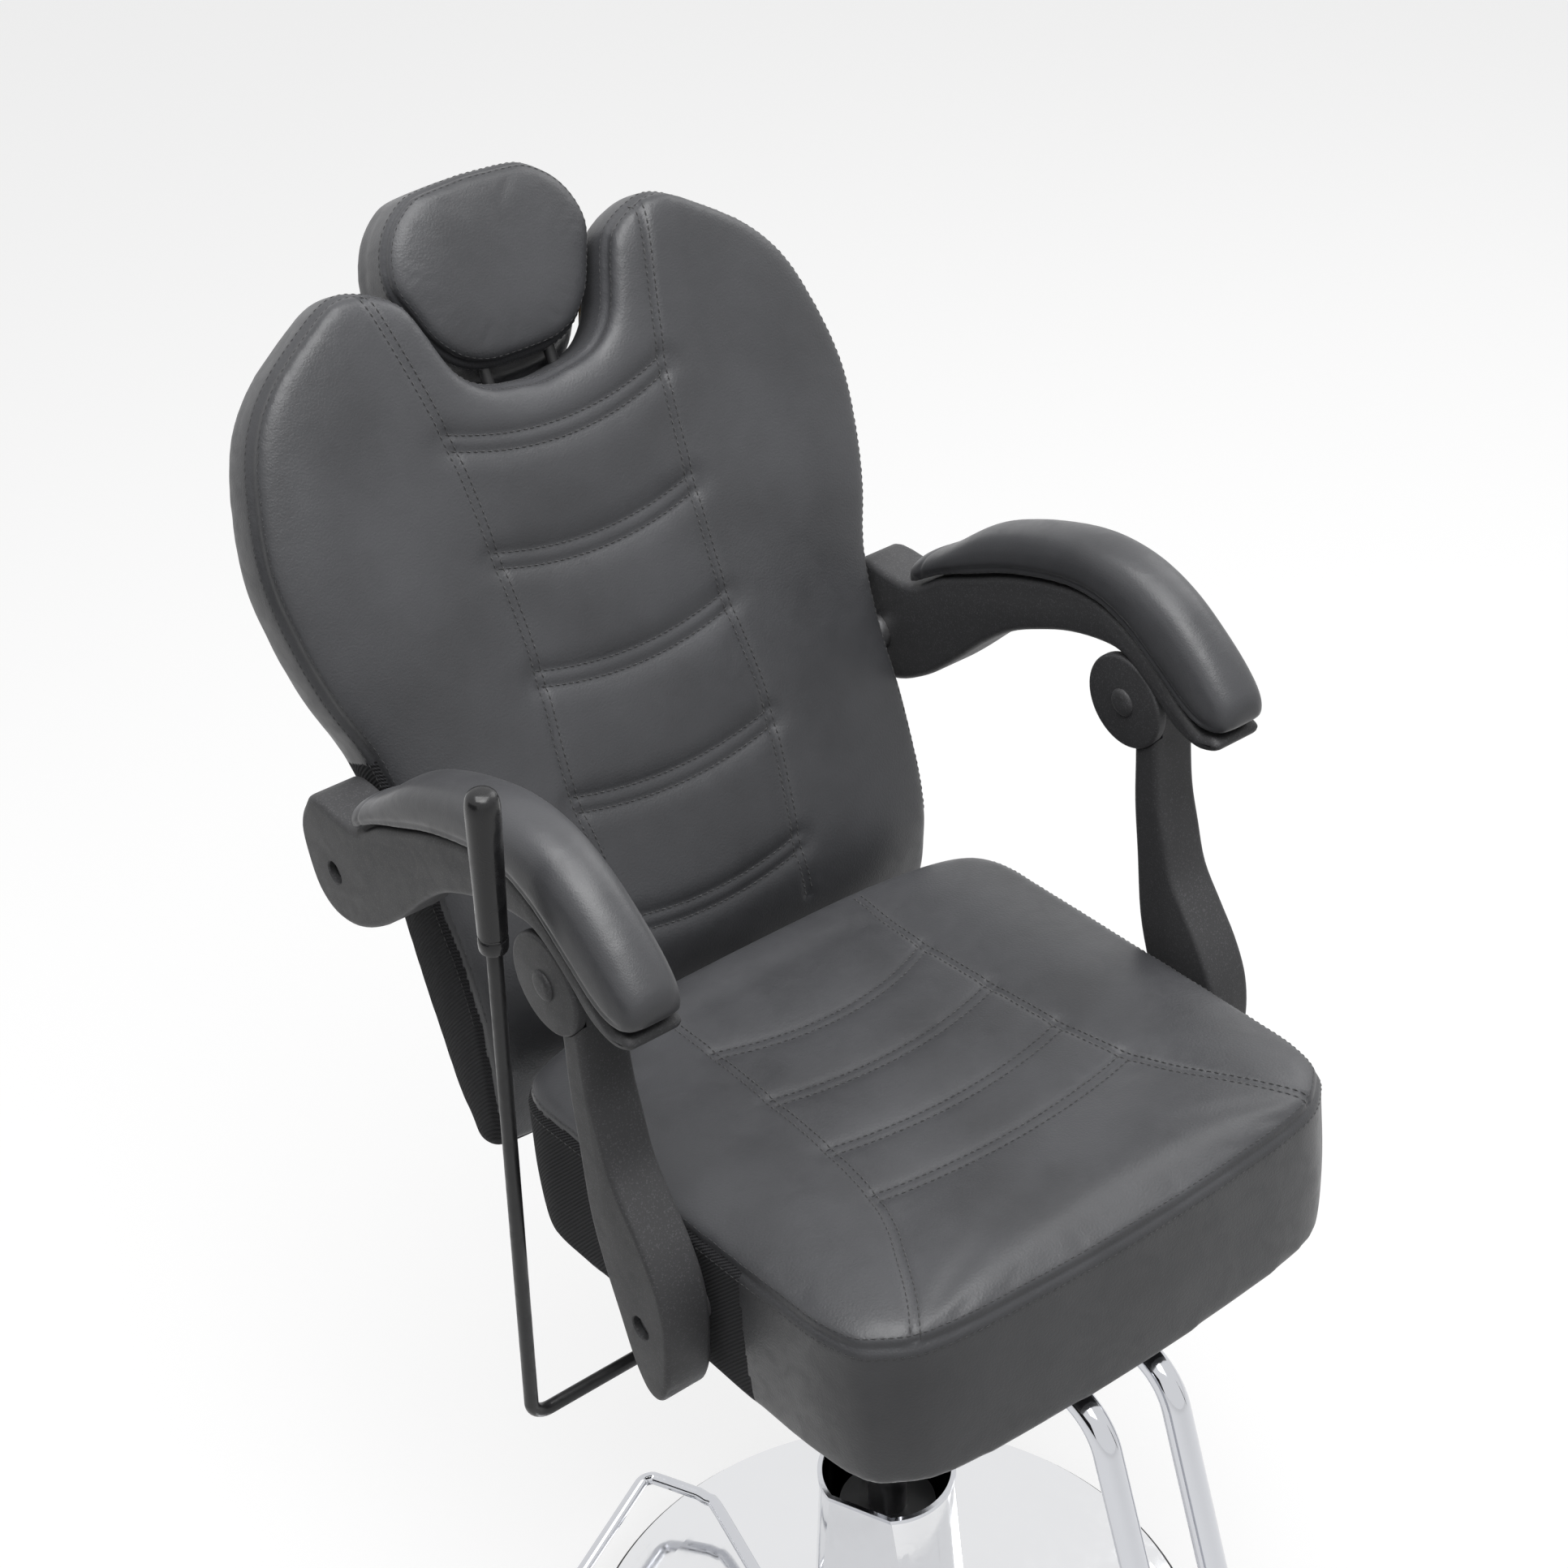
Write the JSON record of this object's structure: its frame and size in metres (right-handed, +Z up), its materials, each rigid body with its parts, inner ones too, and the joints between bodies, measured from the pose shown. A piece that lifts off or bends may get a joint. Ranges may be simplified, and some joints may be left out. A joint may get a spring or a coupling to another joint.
{
  "type": "barber chair",
  "caption": "Reclining hydraulic barber chair: padded seat and heart-shaped back, sliding headrest, arms linked to the recline, side lever, chrome base and footrest",
  "frame": {"origin": "on the floor, on the axis of the pump column", "axes": "+Z up along the column, -Y toward the sitter's front, +X toward the sitter's left"},
  "size_m": [0.622, 0.9633, 1.3087],
  "materials": {
    "leather": "satin",
    "nylon": "matte",
    "chrome": "polished",
    "steel": "brushed",
    "black_paint": "satin",
    "grip_plastic": "gloss",
    "plywood": "matte",
    "dust_cloth": "matte",
    "rubber": "matte"
  },
  "bodies": {
    "base": {"base_plate": "black_paint", "base_cover": "chrome", "base_ring": "rubber", "pump_body": "steel", "pump_bolts": "steel", "pump_cover": "chrome", "pump_rim": "chrome", "pump_neck": "steel", "gland_collar": "black_paint", "pedal_bracket": "steel", "pedal_pin": "steel"},
    "pedal": {"pedal_loop": "chrome"},
    "lift": {"piston_rod": "chrome"},
    "seat": {"swivel_socket": "black_paint", "mechanism_frame": "black_paint", "seat_board": "plywood", "seat_cushion": "leather", "seat_dust_cover": "dust_cloth", "seat_bolts": "steel", "strut_mounts": "steel", "strut_bolts": "steel", "lever_bushes": "steel", "footrest_tubes": "chrome", "foot_bar": "chrome", "foot_sleeves": "rubber", "foot_caps": "rubber"},
    "lever": {"lever_rod": "black_paint", "lever_grip": "grip_plastic", "pawl_arm": "steel"},
    "back": {"recline_shaft": "chrome", "ratchet_quadrant": "steel", "hinge_arms": "black_paint", "back_board": "plywood", "back_bolts": "steel", "back_cushion": "leather", "arm_mounts": "steel", "arm_bolts": "steel", "headrest_guide": "steel"},
    "headrest": {"headrest_posts": "chrome", "headrest_plate": "steel", "headrest_cushion": "leather"},
    "armrest_left": {"arm_shell_left": "nylon", "arm_pad_left": "leather", "knuckle_bolt_left": "grip_plastic"},
    "armrest_right": {"arm_shell_right": "nylon", "arm_pad_right": "leather", "knuckle_bolt_right": "grip_plastic"},
    "strut_left": {"strut_left": "nylon"},
    "strut_right": {"strut_right": "nylon"}
  },
  "joints": [
    {"name": "lift", "type": "slide", "parent": "base", "child": "lift", "axis": [0, 0, 1], "range_m": [-0.15, 0]},
    {"name": "swivel", "type": "hinge", "parent": "lift", "child": "seat", "pos_m": [0, 0, 0.52], "axis": [0, 0, 1], "continuous": true},
    {"name": "pedal", "type": "hinge", "parent": "base", "child": "pedal", "pos_m": [-0.02414, 0.04718, 0.06], "axis": [-0.8902, -0.4555, 0], "range_deg": [0, 8], "stiffness_Nm_per_rad": 12, "springref_deg": -9.74},
    {"name": "recline", "type": "hinge", "parent": "seat", "child": "back", "pos_m": [0, 0.212, 0.622], "axis": [-1, 0, 0], "range_deg": [0, 34]},
    {"name": "headrest_slide", "type": "slide", "parent": "back", "child": "headrest", "axis": [0, 0.4258, 0.9048], "range_m": [0, 0.08]},
    {"name": "arm_left", "type": "hinge", "parent": "back", "child": "armrest_left", "pos_m": [0.264, 0.289, 0.888], "axis": [-1, 0, 0], "range_deg": [-34, 0]},
    {"name": "arm_right", "type": "hinge", "parent": "back", "child": "armrest_right", "pos_m": [-0.264, 0.289, 0.888], "axis": [-1, 0, 0], "range_deg": [-34, 0]},
    {"name": "strut_left", "type": "hinge", "parent": "seat", "child": "strut_left", "pos_m": [0.264, -0.088, 0.698], "axis": [-1, 0, 0], "range_deg": [0, 34]},
    {"name": "strut_right", "type": "hinge", "parent": "seat", "child": "strut_right", "pos_m": [-0.264, -0.088, 0.698], "axis": [-1, 0, 0], "range_deg": [0, 34]},
    {"name": "lever", "type": "hinge", "parent": "seat", "child": "lever", "pos_m": [-0.09, 0.027, 0.535], "axis": [-1, 0, 0], "range_deg": [0, 15], "stiffness_Nm_per_rad": 3, "springref_deg": -14.9}
  ],
  "couplings": [
    {"joint": "arm_left", "follows": "recline", "ratio": -1},
    {"joint": "arm_right", "follows": "recline", "ratio": -1},
    {"joint": "strut_left", "follows": "recline", "ratio": 1},
    {"joint": "strut_right", "follows": "recline", "ratio": 1}
  ]
}
